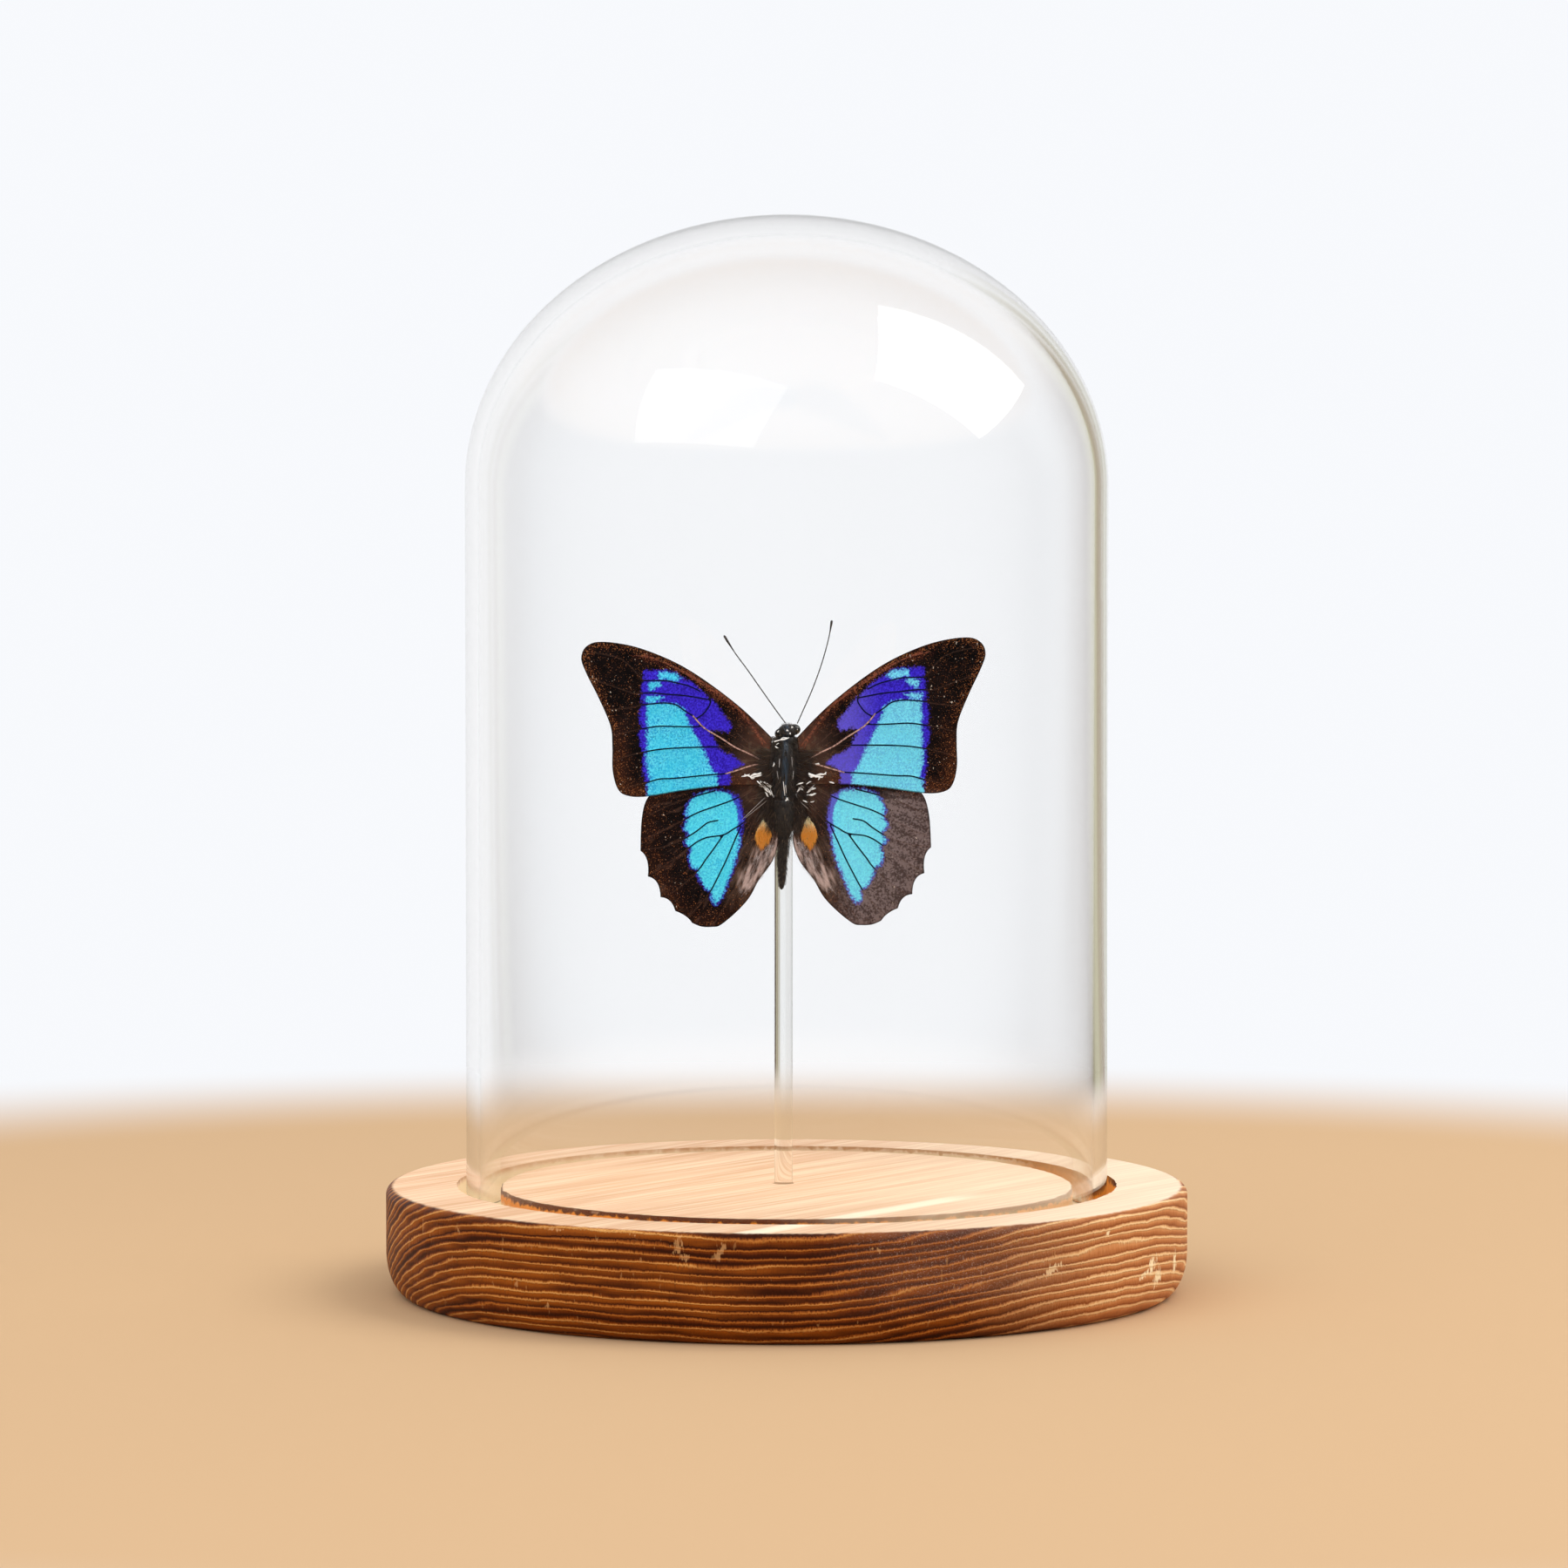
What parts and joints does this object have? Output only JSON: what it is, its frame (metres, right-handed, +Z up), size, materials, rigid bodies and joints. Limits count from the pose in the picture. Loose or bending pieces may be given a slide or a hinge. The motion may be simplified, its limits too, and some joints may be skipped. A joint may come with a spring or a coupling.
{
  "type": "insect in glass dome",
  "caption": "Spread butterfly with banded wings, fixed on a clear rod under a glass dome that stands in a round wooden base.",
  "frame": {"origin": "centre of the base's underside", "axes": "+Z up along the dome's axis, -Y towards the side that the butterfly's patterned upper side faces, +X to the right seen from that side"},
  "size_m": [0.15, 0.15, 0.201],
  "materials": {
    "wood": "turned and sanded, raw, with a scorched groove and side",
    "dome_glass": "clear polished",
    "clear_acrylic": "clear polished",
    "clear_glue": "clear, cured",
    "fur": "dark insect fur with pale glinting hairs",
    "wing_scales": "dark brown wing scales with blue and turquoise bands",
    "horn": "dark insect shell, satin"
  },
  "bodies": {
    "root": {"base": "wood", "glass_dome": "dome_glass", "rod": "clear_acrylic", "glue_bead": "clear_glue", "body": "fur", "forewing_left": "wing_scales", "forewing_right": "wing_scales", "hindwing_left": "wing_scales", "hindwing_right": "wing_scales", "antenna_left": "horn", "antenna_right": "horn"}
  },
  "joints": []
}
